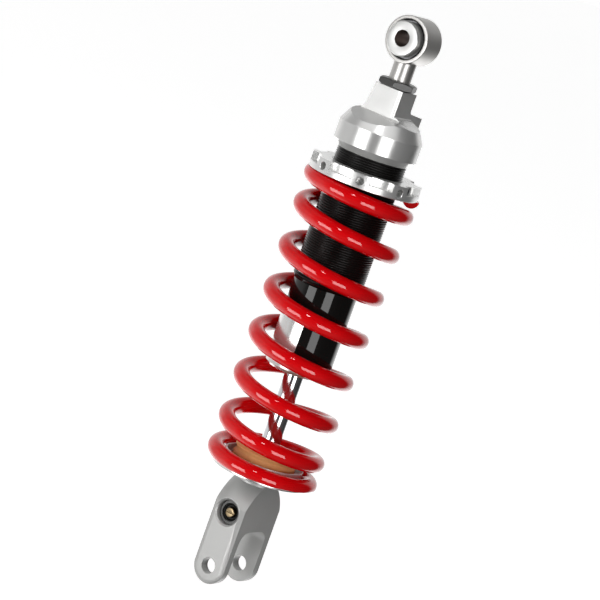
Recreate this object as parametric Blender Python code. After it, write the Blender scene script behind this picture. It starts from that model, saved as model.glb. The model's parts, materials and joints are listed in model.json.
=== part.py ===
"""Coil-over rear shock absorber for a motorcycle, modelled piece by piece.

Lengths are millimetres until a mesh is made, when MM turns them into metres.
The row origin is the centre of the top eye, +Z runs up the damper axis and +Y along both bolt axes.
Heights of the pieces on the damper axis are measured up from the lower bolt.
"""
from math import asin, cos, degrees, pi, radians, sin, sqrt

import bmesh
import bpy
from mathutils import Vector

MM = 0.001
GAP = 0.3                       # clearance kept between touching pieces
WIDE = 36                       # facets round large to tiny pieces
MEDIUM = 24
SMALL = 16
FINE = 12

# Overall
EYE_TO_CLEVIS = 350.0           # bolt centre to bolt centre
BOLT_RADIUS = 5.0               # M10 bolts at both ends

# Top eye and its spherical bearing
EYE_RADIUS = 15.0
EYE_HALF_WIDTH = 9.15
EYE_BORE = 12.5
SHANK_RADIUS = 7.0
SHANK_BOTTOM = 304.0
BALL_RADIUS = 10.0
BALL_HALF_WIDTH = 7.0
RACE_HALF_WIDTH = 6.0
SPACER_FACE = 14.3              # flat faces of the two spacers, from the eye's middle
SPACER_RADIUS = 11.1
SPACER_FACE_RADIUS = 10.6
SPIGOT_RADIUS = 6.5
SEAL_RADIUS = 12.2
SEAL_THICKNESS = 0.4

# Jam nut under the eye
NUT_BOTTOM = 319.4
NUT_TOP = 324.1
NUT_CORNER_RADIUS = 12.7
NUT_CHAMFER = 1.0
NUT_CORNER_ANGLE = -11.4        # degrees from +X

# Top cap
CAP_TOP = 319.1
TOWER_TOP_RADIUS = 13.4
TOWER_BASE_RADIUS = 14.9
TOWER_BASE = 306.0
TOWER_FRONT_FLAT = 8.8          # half width of the tower along the bolt axis
TOWER_SIDE_FLAT = 10.1
TOWER_CORNER_RADIUS = 2.2
FLAT_BOTTOM = 301.6
SIDE_LEDGE = 302.9              # the side flat ends higher, on a narrow ledge
SIDE_LEDGE_WIDTH = 1.7
FRONT_RAMP = 0.39               # fall per millimetre of the milled ramps below the flats
SIDE_RAMP = 0.40
SHOULDER = 300.7
SHOULDER_RADIUS = 21.4
CAP_RADIUS = 26.8
CAP_CYLINDER_TOP = 291.3
CAP_CYLINDER_BOTTOM = 279.5
CAP_BOTTOM = 275.1
CAP_BOTTOM_RADIUS = 23.3
BOSS_TOP = 306.8                # raised gas boss behind the tower
BOSS_FALL = 0.105               # fall per millimetre of the boss's top towards the rear
PLUG_SINK = 2.2                 # the plug's face lies this far below the boss's highest edge
GAS_PLUG_OFFSET = 17.6
GAS_PLUG_RADIUS = 3.4
GAS_PLUG_BOTTOM = 296.5

# Damper tube
TUBE_TOP = 289.0
THREAD_RADIUS = 22.4
THREAD_BOTTOM = 190.4
TUBE_RADIUS = 20.8
TUBE_BOTTOM = 140.8
TUBE_BORE = 18.5
SLIDING_RADIUS = 18.1           # pieces that fit inside the tube
RING_GROOVE_RADIUS = 16.8

# Gland at the tube's lower end
GLAND_BOTTOM = 132.2
GLAND_TOP = 150.0
GLAND_RADIUS = 20.5
GLAND_BORE = 11.0
GLAND_LAND_BOTTOM = 140.0       # rib between the wiper's and the seal's pockets
GLAND_LAND_TOP = 142.0
WIPER_LIP = 134.6               # height of the lip's inner edge
WIPER_TOP = 139.7
SEAL_BOTTOM = 142.3
SEAL_LIP = 143.4
SEAL_TOP = 148.6
GUIDE_TOP = 163.0
BUSH_RADIUS = 7.6

# Piston rod and piston
ROD_RADIUS = 6.25
ROD_BOTTOM = 45.3
ROD_SHOULDER = 171.9
ROD_SPIGOT_RADIUS = 5.0
ROD_TOP = 198.6
NEEDLE_BORE = 2.6
NEEDLE_RADIUS = 2.2
PISTON_BOTTOM = 174.3
PISTON_HEIGHT = 13.6
PORT_COUNT = 6
PORT_RADIUS = 1.7
PORT_CIRCLE = 11.5
FLOATING_BOTTOM = 247.0
FLOATING_HEIGHT = 11.0

# Preload ring
RING_TOP = 266.3
RING_BOTTOM = 257.3
RING_FLANGE_TOP = 261.3
RING_RADIUS = 35.4
RING_RECESS_RADIUS = 31.5
LAND_COUNT = 8
LAND_HALF_ANGLE = 9.5           # degrees
FIRST_LAND_ANGLE = -63.4        # degrees from +X
TOMMY_HOLE_RADIUS = 2.4
TOMMY_HOLE_DEPTH = 4.5
TOMMY_HOLE_HEIGHT = 261.8
WASHER_TOP = 258.7
WASHER_RADIUS = 33.8
LOCK_SCREW_ANGLE = 4.1
LOCK_SCREW_RADIUS = 2.2
LOCK_SCREW_HEIGHT = 263.2

# Spring, wound left-handed
WIRE_RADIUS = 5.3
COIL_RADIUS = 31.8
SPRING_TOP = RING_BOTTOM - GAP
SPRING_BOTTOM = 65.0
SPRING_TURNS = 8.25
TOP_RAMP = 1.67                 # turns over which each closed end opens to the full pitch
BOTTOM_RAMP = 1.87
RAMP_POWER = 1.7
TIP_RISE = 0.3                  # the tips' centres stand this far past the ground end planes
SPRING_TOP_ANGLE = 29.6         # degrees from +X, where the wire's upper tip lies
SPRING_SECTIONS = 130           # straight stretches along the wire
WIRE_SIDES = 8

# Lower seat and bump stop
SEAT_BOTTOM = 59.9
SEAT_HUB_TOP = 62.7
SEAT_TOP = 64.7
SEAT_RADIUS = 32.0
SEAT_HUB_RADIUS = 21.6
CUP_RADIUS = 25.8
CUP_BORE = 24.4
CUP_TOP = 72.6
BUMP_STOP_RADIUS = 20.5
BUMP_STOP_TOP = 82.5

# Clevis
CLEVIS_TOP = 59.6
CLEVIS_HALF_DEPTH = 11.65       # along X, also the radius of the ears' ends
DOME = [(24.6, 33.0), (23.2, 39.5), (21.4, 45.0), (19.2, 49.5), (16.9, 53.4), (14.2, 56.6)]
CLEVIS_HALF_WIDTH = 21.5        # along Y
CLEVIS_BEVEL_X = 3.05
CLEVIS_BEVEL_Y = 1.6
SLOT_HALF_WIDTH = 14.5
SLOT_TOP = 27.0
SLOT_CORNER = 8.0
ADJUSTER_HEIGHT = 36.2
ADJUSTER_BORE = 8.0
ADJUSTER_CHAMFER = 0.9
ADJUSTER_BACK = -5.0
DRUM_RADIUS = 7.4
DRUM_FACE = -16.5
SCREW_RADIUS = 3.1
SCREW_FACE = -18.6


def clear_scene():
    """Remove every object that the scene starts with."""
    for old in list(bpy.data.objects):
        bpy.data.objects.remove(old, do_unlink=True)


def make_material(name, colour, roughness, metallic):
    """Principled material with one colour."""
    material = bpy.data.materials.new(name)
    material.use_nodes = True
    shader = material.node_tree.nodes["Principled BSDF"]
    shader.inputs["Base Color"].default_value = (*colour, 1.0)
    shader.inputs["Roughness"].default_value = roughness
    shader.inputs["Metallic"].default_value = metallic
    return material


def make_datum(name, height):
    """Empty on the damper axis, at a height in millimetres above the row origin."""
    datum = bpy.data.objects.new(name, None)
    datum.location = (0.0, 0.0, height * MM)
    bpy.context.collection.objects.link(datum)
    return datum


def finish_mesh(bm, name):
    """Scale a millimetre bmesh to metres, clean it and make it a mesh with smooth round sides."""
    bmesh.ops.remove_doubles(bm, verts=bm.verts, dist=0.0005)
    bmesh.ops.dissolve_degenerate(bm, edges=bm.edges, dist=0.0001)
    bmesh.ops.recalc_face_normals(bm, faces=bm.faces)
    bmesh.ops.scale(bm, vec=(MM, MM, MM), verts=bm.verts)
    mesh = bpy.data.meshes.new(name)
    bm.to_mesh(mesh)
    bm.free()
    mesh.shade_smooth()
    mesh.set_sharp_from_angle(angle=radians(35))
    return mesh


def place(name, mesh, material, parent, location=(0.0, 0.0, 0.0), turn=None):
    """Link an object under its datum. The location is in millimetres."""
    obj = bpy.data.objects.new(name, mesh)
    obj.location = Vector(location) * MM
    if turn:
        obj.rotation_euler = turn
    obj.parent = parent
    bpy.context.collection.objects.link(obj)
    if material:
        mesh.materials.append(material)
    return obj


def lathe_mesh(name, outline, steps):
    """Spin a closed outline of (radius, height) points once round Z."""
    bm = bmesh.new()
    verts = [bm.verts.new((radius, 0.0, height)) for radius, height in outline]
    edges = [bm.edges.new((verts[i - 1], verts[i])) for i in range(len(verts))]
    bmesh.ops.spin(bm, geom=verts + edges, cent=(0, 0, 0), axis=(0, 0, 1), angle=2 * pi,
                   steps=steps, use_merge=True)
    return finish_mesh(bm, name)


def prism_mesh(name, outline, low, high, axis="Z"):
    """Extrude a flat outline along an axis. X prisms take (y, z), Y prisms (x, z), Z prisms (x, y)."""
    corners = {"X": lambda a, b, c: (c, a, b),
               "Y": lambda a, b, c: (a, c, b),
               "Z": lambda a, b, c: (a, b, c)}
    corner = corners[axis]
    bm = bmesh.new()
    face = bm.faces.new([bm.verts.new(corner(a, b, low)) for a, b in outline])
    grown = bmesh.ops.extrude_face_region(bm, geom=[face])
    moved = [item for item in grown["geom"] if isinstance(item, bmesh.types.BMVert)]
    bmesh.ops.translate(bm, vec=Vector(corner(0.0, 0.0, high - low)), verts=moved)
    return finish_mesh(bm, name)


def arc(centre, radius, start, end, steps):
    """Points of an arc in a plane, angles in degrees, both ends included."""
    angles = [radians(start + (end - start) * i / steps) for i in range(steps + 1)]
    return [(centre[0] + radius * cos(a), centre[1] + radius * sin(a)) for a in angles]


def disc(radius, steps, turn=0.0):
    """Points of a full circle, or of a hexagon with steps=6."""
    return arc((0.0, 0.0), radius, turn, turn + 360.0, steps)[:-1]


def ring_outline(inner, outer, bottom, top, chamfer=0.0):
    """Section of a plain ring whose four edges may be chamfered."""
    c = chamfer
    if not c:
        return [(inner, bottom), (outer, bottom), (outer, top), (inner, top)]
    return [(inner, bottom + c), (inner + c, bottom), (outer - c, bottom), (outer, bottom + c),
            (outer, top - c), (outer - c, top), (inner + c, top), (inner, top - c)]


def cut(target, mesh, operation="DIFFERENCE", location=(0.0, 0.0, 0.0), turn=None):
    """Boolean a hidden tool shape into a target. The tool shares the target's datum."""
    tool = place("tool_" + mesh.name, mesh, None, target.parent, location, turn)
    tool.hide_render = True
    tool.display_type = "WIRE"
    modifier = target.modifiers.new(operation.lower(), "BOOLEAN")
    modifier.operation = operation
    modifier.solver = "EXACT"
    modifier.object = tool
    return tool


ALONG_Y = (radians(-90), 0.0, 0.0)      # turns a shape's own +Z into world +Y


def radial(angle):
    """Rotation that lays a shape's own +Z along a horizontal direction, in degrees from +X."""
    return (0.0, radians(90), radians(angle))


def build_top_eye(datum, metals):
    """Rod end: an eye on a threaded shank, with its race, ball, two spacers and two seals."""
    half = EYE_HALF_WIDTH
    outline = [(0.0, -half), (EYE_RADIUS - 0.8, -half), (EYE_RADIUS, -half + 0.8), (EYE_RADIUS, half - 0.8),
               (EYE_RADIUS - 0.8, half), (0.0, half)]
    eye_mesh = lathe_mesh("rod_end_eye", outline, WIDE)
    eye = place("rod_end_eye", eye_mesh, metals["satin"], datum, turn=ALONG_Y)
    shank_top = -EYE_RADIUS + 2.5
    shank_bottom = SHANK_BOTTOM - EYE_TO_CLEVIS
    shank = [(0.0, shank_bottom), (SHANK_RADIUS - 0.8, shank_bottom), (SHANK_RADIUS, shank_bottom + 0.8),
             (SHANK_RADIUS, shank_top), (0.0, shank_top)]
    cut(eye, lathe_mesh("shank", shank, SMALL), "UNION")
    cut(eye, prism_mesh("eye_bore", disc(EYE_BORE, WIDE), -half - 1, half + 1), turn=ALONG_Y)

    half = RACE_HALF_WIDTH
    inner = BALL_RADIUS + GAP
    heights = [half * (1 - i / 2.0) for i in range(5)]
    race = [(EYE_BORE - GAP, -half), (EYE_BORE - GAP, half)]
    race += [(sqrt(inner ** 2 - h ** 2), h) for h in heights]
    place("bearing_race", lathe_mesh("bearing_race", race, MEDIUM), metals["steel"], datum, turn=ALONG_Y)

    half = BALL_HALF_WIDTH
    bore = SPIGOT_RADIUS + GAP
    heights = [half * (1 - i / 3.0) for i in range(7)]
    ball = [(bore, -half), (bore, half)] + [(sqrt(BALL_RADIUS ** 2 - h ** 2), h) for h in heights]
    place("bearing_ball", lathe_mesh("bearing_ball", ball, MEDIUM), metals["steel"], datum, turn=ALONG_Y)

    flange = BALL_HALF_WIDTH + GAP
    spacer = [(BOLT_RADIUS, GAP / 2), (SPIGOT_RADIUS, GAP / 2), (SPIGOT_RADIUS, flange),
              (SPACER_RADIUS, flange), (SPACER_RADIUS, SPACER_FACE - 0.6), (SPACER_FACE_RADIUS, SPACER_FACE),
              (BOLT_RADIUS + 0.3, SPACER_FACE), (BOLT_RADIUS, SPACER_FACE - 0.3)]
    seal = ring_outline(SEAL_RADIUS - SEAL_THICKNESS, SEAL_RADIUS, RACE_HALF_WIDTH + GAP,
                        EYE_HALF_WIDTH - GAP)
    for side, sign in (("rear", 1.0), ("front", -1.0)):
        turned_spacer = [(radius, sign * along) for radius, along in spacer]
        turned_seal = [(radius, sign * along) for radius, along in seal]
        spacer_mesh = lathe_mesh("spacer_" + side, turned_spacer, MEDIUM)
        place("spacer_" + side, spacer_mesh, metals["polished"], datum, turn=ALONG_Y)
        seal_mesh = lathe_mesh("eye_seal_" + side, turned_seal, MEDIUM)
        place("eye_seal_" + side, seal_mesh, metals["rubber"], datum, turn=ALONG_Y)


def build_jam_nut(datum, metals):
    """Thin hexagon nut that locks the rod end in the cap."""
    outline = disc(NUT_CORNER_RADIUS, 6, NUT_CORNER_ANGLE)
    nut = place("jam_nut", prism_mesh("jam_nut", outline, NUT_BOTTOM, NUT_TOP), metals["black"], datum)
    middle = NUT_CORNER_RADIUS - NUT_CHAMFER * 1.4
    barrel = [(0.0, NUT_BOTTOM - 1), (middle - 0.6, NUT_BOTTOM - 1), (middle, NUT_BOTTOM),
              (NUT_CORNER_RADIUS + 0.5, NUT_BOTTOM + NUT_CHAMFER),
              (NUT_CORNER_RADIUS + 0.5, NUT_TOP - NUT_CHAMFER),
              (middle, NUT_TOP), (middle - 0.6, NUT_TOP + 1), (0.0, NUT_TOP + 1)]
    cut(nut, lathe_mesh("nut_barrel", barrel, MEDIUM), "INTERSECT")
    cut(nut, prism_mesh("nut_bore", disc(SHANK_RADIUS + GAP, SMALL), NUT_BOTTOM - 2, NUT_TOP + 2))


def build_top_cap(datum, metals):
    """Cap that closes the tube: a milled tower, a shoulder, a gas boss and a skirt round the tube."""
    groove_top = TUBE_TOP - 5.0
    spigot_bottom = CAP_CYLINDER_BOTTOM + 0.6
    outline = [(0.0, spigot_bottom), (SLIDING_RADIUS - 0.6, spigot_bottom),
               (SLIDING_RADIUS, spigot_bottom + 0.6),
               (SLIDING_RADIUS, groove_top - 2.4), (RING_GROOVE_RADIUS, groove_top - 2.4),
               (RING_GROOVE_RADIUS, groove_top), (SLIDING_RADIUS, groove_top),
               (SLIDING_RADIUS, TUBE_TOP + GAP),
               (THREAD_RADIUS + GAP, TUBE_TOP + GAP), (THREAD_RADIUS + GAP, CAP_BOTTOM),
               (CAP_BOTTOM_RADIUS, CAP_BOTTOM), (CAP_RADIUS, CAP_CYLINDER_BOTTOM),
               (CAP_RADIUS, CAP_CYLINDER_TOP),
               (SHOULDER_RADIUS + 1.2, SHOULDER - 1.3), (SHOULDER_RADIUS, SHOULDER),
               (SHOULDER_RADIUS - 3, FLAT_BOTTOM)]
    fillet = TOWER_BASE - FLAT_BOTTOM
    outline += arc((TOWER_BASE_RADIUS + fillet, TOWER_BASE), fillet, 265, 180, 4)
    outline += [(TOWER_TOP_RADIUS, CAP_TOP), (0.0, CAP_TOP)]
    cap = place("top_cap", lathe_mesh("top_cap", outline, WIDE), metals["satin"], datum)

    half = TOWER_SIDE_FLAT
    spread = degrees(asin(half / CAP_RADIUS))
    boss = [(-half, TOWER_FRONT_FLAT - 1), (half, TOWER_FRONT_FLAT - 1)]
    boss += arc((0.0, 0.0), CAP_RADIUS, 90 - spread, 90 + spread, 6)
    cut(cap, prism_mesh("boss", boss, CAP_CYLINDER_TOP + 2, BOSS_TOP + 1), "UNION")

    far = 40.0
    drop = far - TOWER_FRONT_FLAT
    front = [(-TOWER_FRONT_FLAT, CAP_TOP + 2), (-far, CAP_TOP + 2), (-far, FLAT_BOTTOM - drop * FRONT_RAMP),
             (-TOWER_FRONT_FLAT, FLAT_BOTTOM)]
    cut(cap, prism_mesh("front_flat", front, -far, far, "X"))
    ledge = TOWER_SIDE_FLAT + SIDE_LEDGE_WIDTH
    drop = far - ledge
    side = [(TOWER_SIDE_FLAT, CAP_TOP + 2), (far, CAP_TOP + 2), (far, SIDE_LEDGE - drop * SIDE_RAMP),
            (ledge, SIDE_LEDGE), (TOWER_SIDE_FLAT, SIDE_LEDGE)]
    cut(cap, prism_mesh("side_flat", side, -far, far, "Y"))
    drop = far - TOWER_FRONT_FLAT
    rear = [(TOWER_FRONT_FLAT, CAP_TOP + 2), (far, CAP_TOP + 2), (far, BOSS_TOP - drop * BOSS_FALL),
            (TOWER_FRONT_FLAT, BOSS_TOP)]
    cut(cap, prism_mesh("rear_flat", rear, -far, far, "X"))

    corner = TOWER_CORNER_RADIUS
    x = TOWER_SIDE_FLAT
    y = -TOWER_FRONT_FLAT
    waste = arc((x - corner, y + corner), corner, -90, 0, 6)
    waste += [(x + 1, y + corner), (x + 1, y - 1), (x - corner, y - 1)]
    cut(cap, prism_mesh("corner_round", waste, SIDE_LEDGE + 0.1, CAP_TOP + 1))

    cut(cap, prism_mesh("shank_hole", disc(SHANK_RADIUS + GAP, SMALL), SHANK_BOTTOM - 1.5, CAP_TOP + 1))
    cut(cap, prism_mesh("gas_hole", disc(GAS_PLUG_RADIUS + GAP, FINE), GAS_PLUG_BOTTOM - GAP, BOSS_TOP + 1),
        location=(0.0, GAS_PLUG_OFFSET, 0.0))

    plug_top = BOSS_TOP - PLUG_SINK
    plug_outline = [(0.0, GAS_PLUG_BOTTOM), (GAS_PLUG_RADIUS, GAS_PLUG_BOTTOM),
                    (GAS_PLUG_RADIUS, plug_top - 0.4),
                    (GAS_PLUG_RADIUS - 0.4, plug_top), (0.0, plug_top)]
    where = (0.0, GAS_PLUG_OFFSET, 0.0)
    plug = place("gas_plug", lathe_mesh("gas_plug", plug_outline, FINE), metals["steel"], datum,
                 location=where)
    cut(plug, prism_mesh("plug_socket", disc(1.7, 6), plug_top - 3, plug_top + 1), location=where)

    ring = ring_outline(RING_GROOVE_RADIUS + 0.2, TUBE_BORE - 0.1, groove_top - 2.15, groove_top - 0.25, 0.5)
    place("cap_o_ring", lathe_mesh("cap_o_ring", ring, MEDIUM), metals["rubber"], datum)


def build_tube(datum, metals):
    """Damper tube: threaded above for the preload ring, plain and slimmer below."""
    outline = [(TUBE_BORE, TUBE_BOTTOM), (TUBE_RADIUS, TUBE_BOTTOM), (TUBE_RADIUS, THREAD_BOTTOM - 1.6),
               (THREAD_RADIUS, THREAD_BOTTOM), (THREAD_RADIUS, TUBE_TOP), (TUBE_BORE, TUBE_TOP)]
    place("body_tube", lathe_mesh("body_tube", outline, WIDE), metals["black"], datum)


def build_gland(datum, metals):
    """Gland screwed into the tube, with wiper, seal, rod guide and bush round the rod."""
    waist = TUBE_BOTTOM - GAP
    lip = BUSH_RADIUS + 0.6
    outline = [(lip, GLAND_BOTTOM), (GLAND_RADIUS - 1.0, GLAND_BOTTOM), (GLAND_RADIUS, GLAND_BOTTOM + 1.0),
               (GLAND_RADIUS, waist - 2.6), (GLAND_RADIUS - 0.7, waist - 2.2),
               (GLAND_RADIUS - 0.7, waist - 1.2),
               (GLAND_RADIUS, waist - 0.8), (GLAND_RADIUS, waist), (SLIDING_RADIUS, waist),
               (SLIDING_RADIUS, GLAND_TOP), (GLAND_BORE, GLAND_TOP), (GLAND_BORE, GLAND_LAND_TOP),
               (lip, GLAND_LAND_TOP), (lip, GLAND_LAND_BOTTOM), (GLAND_BORE, GLAND_LAND_BOTTOM),
               (GLAND_BORE, GLAND_BOTTOM + 1.0), (lip, GLAND_BOTTOM + 1.0)]
    place("gland_cap", lathe_mesh("gland_cap", outline, MEDIUM), metals["satin"], datum)

    bore = ROD_RADIUS + GAP
    wiper = [(bore, WIPER_LIP), (lip, GLAND_BOTTOM + 1.3), (GLAND_BORE - GAP, GLAND_BOTTOM + 1.3),
             (GLAND_BORE - GAP, WIPER_TOP), (bore, WIPER_TOP)]
    place("rod_wiper", lathe_mesh("rod_wiper", wiper, SMALL), metals["rubber"], datum)
    seal = [(bore, SEAL_LIP), (lip, SEAL_BOTTOM), (GLAND_BORE - GAP, SEAL_BOTTOM),
            (GLAND_BORE - GAP, SEAL_TOP),
            (bore, SEAL_TOP)]
    place("rod_seal", lathe_mesh("rod_seal", seal, SMALL), metals["rubber"], datum)

    guide_bottom = GLAND_TOP + GAP
    guide = [(BUSH_RADIUS + GAP, guide_bottom), (SLIDING_RADIUS, guide_bottom),
             (SLIDING_RADIUS, GUIDE_TOP - 1.0),
             (SLIDING_RADIUS - 1.0, GUIDE_TOP), (BUSH_RADIUS + GAP, GUIDE_TOP)]
    place("rod_guide", lathe_mesh("rod_guide", guide, SMALL), metals["satin"], datum)
    bush = ring_outline(bore, BUSH_RADIUS, guide_bottom + 0.3, GUIDE_TOP - 0.5)
    place("rod_bush", lathe_mesh("rod_bush", bush, SMALL), metals["bronze"], datum)


def build_rod(datum, metals):
    """Hollow piston rod with the piston stack on its spigot and the metering needle in its bore."""
    thread = ROD_SPIGOT_RADIUS
    outline = [(NEEDLE_BORE, ROD_BOTTOM), (ROD_RADIUS, ROD_BOTTOM), (ROD_RADIUS, ROD_SHOULDER),
               (thread, ROD_SHOULDER), (thread, ROD_TOP), (NEEDLE_BORE, ROD_TOP)]
    place("piston_rod", lathe_mesh("piston_rod", outline, SMALL), metals["chrome"], datum)

    needle_top = ROD_TOP - 4.0
    needle = [(0.0, ADJUSTER_HEIGHT + DRUM_RADIUS + 2.1),
              (NEEDLE_RADIUS, ADJUSTER_HEIGHT + DRUM_RADIUS + 3.0),
              (NEEDLE_RADIUS, needle_top - 8.0), (0.5, needle_top), (0.0, needle_top)]
    place("rebound_needle", lathe_mesh("rebound_needle", needle, FINE), metals["steel"], datum)

    bumper = [(ROD_RADIUS + GAP, GUIDE_TOP + GAP), (11.0, GUIDE_TOP + GAP), (12.5, GUIDE_TOP + 2.0),
              (12.5, ROD_SHOULDER - 2.0), (11.0, ROD_SHOULDER - GAP), (ROD_RADIUS + GAP, ROD_SHOULDER - GAP)]
    place("top_out_bumper", lathe_mesh("top_out_bumper", bumper, SMALL), metals["rubber"], datum)

    bore = thread + GAP
    low = ROD_SHOULDER + GAP
    shims = [(bore, low), (9.0, low), (9.0, low + 0.6), (12.0, low + 0.6), (12.0, low + 1.2),
             (15.0, low + 1.2),
             (15.0, PISTON_BOTTOM - GAP), (bore, PISTON_BOTTOM - GAP)]
    place("rebound_shims", lathe_mesh("rebound_shims", shims, SMALL), metals["steel"], datum)

    top = PISTON_BOTTOM + PISTON_HEIGHT
    groove = RING_GROOVE_RADIUS
    outline = [(bore, PISTON_BOTTOM), (SLIDING_RADIUS - 0.7, PISTON_BOTTOM),
               (SLIDING_RADIUS, PISTON_BOTTOM + 0.7),
               (SLIDING_RADIUS, PISTON_BOTTOM + 3.5), (groove, PISTON_BOTTOM + 3.5), (groove, top - 3.5),
               (SLIDING_RADIUS, top - 3.5), (SLIDING_RADIUS, top - 0.7), (SLIDING_RADIUS - 0.7, top),
               (bore, top)]
    piston = place("piston", lathe_mesh("piston", outline, MEDIUM), metals["steel"], datum)
    for index in range(PORT_COUNT):
        angle = 2 * pi * (index + 0.3) / PORT_COUNT
        port = prism_mesh("port_%d" % index, disc(PORT_RADIUS, FINE), PISTON_BOTTOM - 1, top + 1)
        cut(piston, port, location=(PORT_CIRCLE * cos(angle), PORT_CIRCLE * sin(angle), 0.0))
    band = ring_outline(groove + 0.2, TUBE_BORE - 0.1, PISTON_BOTTOM + 3.8, top - 3.8)
    place("piston_band", lathe_mesh("piston_band", band, MEDIUM), metals["bronze"], datum)

    low = top + GAP
    shims = [(bore, low), (16.0, low), (16.0, low + 0.7), (12.5, low + 0.7), (12.5, low + 1.3),
             (9.0, low + 1.3),
             (9.0, low + 1.9), (bore, low + 1.9)]
    place("compression_shims", lathe_mesh("compression_shims", shims, SMALL), metals["steel"], datum)
    low += 1.9 + GAP
    nut = place("piston_nut", prism_mesh("piston_nut", disc(9.2, 6), low, low + 6.6), metals["steel"], datum)
    cut(nut, prism_mesh("piston_nut_bore", disc(bore, SMALL), low - 1, low + 8))


def build_floating_piston(datum, metals):
    """Piston that parts the oil from the gas, and its ring."""
    bottom = FLOATING_BOTTOM
    top = bottom + FLOATING_HEIGHT
    middle = (bottom + top) / 2
    groove = RING_GROOVE_RADIUS
    outline = [(0.0, bottom), (SLIDING_RADIUS - 0.7, bottom), (SLIDING_RADIUS, bottom + 0.7),
               (SLIDING_RADIUS, middle - 1.4), (groove, middle - 1.4), (groove, middle + 1.4),
               (SLIDING_RADIUS, middle + 1.4), (SLIDING_RADIUS, top), (SLIDING_RADIUS - 3.0, top),
               (SLIDING_RADIUS - 4.5, middle), (0.0, middle)]
    place("floating_piston", lathe_mesh("floating_piston", outline, MEDIUM), metals["satin"], datum)
    ring = ring_outline(groove + 0.2, TUBE_BORE - 0.1, middle - 1.1, middle + 1.1, 0.5)
    place("floating_piston_ring", lathe_mesh("floating_piston_ring", ring, MEDIUM), metals["rubber"], datum)


def land_ring_outline():
    """Plan of the castellated rim: lands at the full radius with recesses between them."""
    points = []
    pitch = 360.0 / LAND_COUNT
    for index in range(LAND_COUNT):
        centre = FIRST_LAND_ANGLE + index * pitch
        points += arc((0.0, 0.0), RING_RADIUS, centre - LAND_HALF_ANGLE, centre + LAND_HALF_ANGLE, 3)
        points += arc((0.0, 0.0), RING_RECESS_RADIUS, centre + LAND_HALF_ANGLE + 1.5,
                      centre + pitch - LAND_HALF_ANGLE - 1.5, 4)
    return points


def build_preload_ring(datum, metals):
    """Castellated ring on the tube's thread, its lock screw, and the washer it turns on."""
    steps = WIDE
    bore = THREAD_RADIUS + GAP
    flange = ring_outline(bore, RING_RADIUS, RING_BOTTOM, RING_FLANGE_TOP)
    ring = place("preload_ring", lathe_mesh("preload_ring", flange, steps), metals["satin"], datum)
    cut(ring, prism_mesh("castellations", land_ring_outline(), RING_FLANGE_TOP - 0.6, RING_TOP), "UNION")
    cut(ring, prism_mesh("ring_bore", disc(bore, steps), RING_BOTTOM - 1, RING_TOP + 1))
    seat = prism_mesh("washer_seat", disc(WASHER_RADIUS + GAP, steps), RING_BOTTOM - 1, WASHER_TOP + GAP)
    cut(ring, seat)
    for index in range(LAND_COUNT):
        angle = FIRST_LAND_ANGLE + index * 360.0 / LAND_COUNT
        hole = prism_mesh("tommy_hole_%d" % index, disc(TOMMY_HOLE_RADIUS, FINE),
                          RING_RADIUS - TOMMY_HOLE_DEPTH,
                          RING_RADIUS + 1)
        cut(ring, hole, location=(0.0, 0.0, TOMMY_HOLE_HEIGHT), turn=radial(angle))
    middle = (0.0, 0.0, LOCK_SCREW_HEIGHT)
    facing = radial(LOCK_SCREW_ANGLE)
    screw_hole = prism_mesh("lock_screw_hole", disc(LOCK_SCREW_RADIUS + GAP, FINE), THREAD_RADIUS - 2,
                            RING_RADIUS + 1)
    cut(ring, screw_hole, location=middle, turn=facing)

    face = RING_RECESS_RADIUS - 0.5
    outline = [(0.0, bore + 0.2), (LOCK_SCREW_RADIUS, bore + 0.8), (LOCK_SCREW_RADIUS, face), (0.0, face)]
    screw = place("ring_lock_screw", lathe_mesh("ring_lock_screw", outline, FINE), metals["steel"], datum,
                  location=middle, turn=facing)
    cut(screw, prism_mesh("lock_screw_socket", disc(1.2, 6), face - 2.4, face + 1), location=middle,
        turn=facing)

    washer = ring_outline(bore + 0.3, WASHER_RADIUS, RING_BOTTOM, WASHER_TOP)
    place("thrust_washer", lathe_mesh("thrust_washer", washer, steps), metals["steel"], datum)


def spring_height(turn):
    """Height of the wire's centre after a number of turns from the top: closed ends, even pitch between."""
    top = SPRING_TOP + TIP_RISE
    bottom = SPRING_BOTTOM - TIP_RISE
    lost = (1 - 1 / RAMP_POWER) * (TOP_RAMP + BOTTOM_RAMP)
    pitch = (top - bottom) / (SPRING_TURNS - lost)
    left = SPRING_TURNS - turn
    if turn < TOP_RAMP:
        return top - pitch * TOP_RAMP / RAMP_POWER * (turn / TOP_RAMP) ** RAMP_POWER
    if left < BOTTOM_RAMP:
        return bottom + pitch * BOTTOM_RAMP / RAMP_POWER * (left / BOTTOM_RAMP) ** RAMP_POWER
    return top - pitch * (turn - TOP_RAMP * (1 - 1 / RAMP_POWER))


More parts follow.
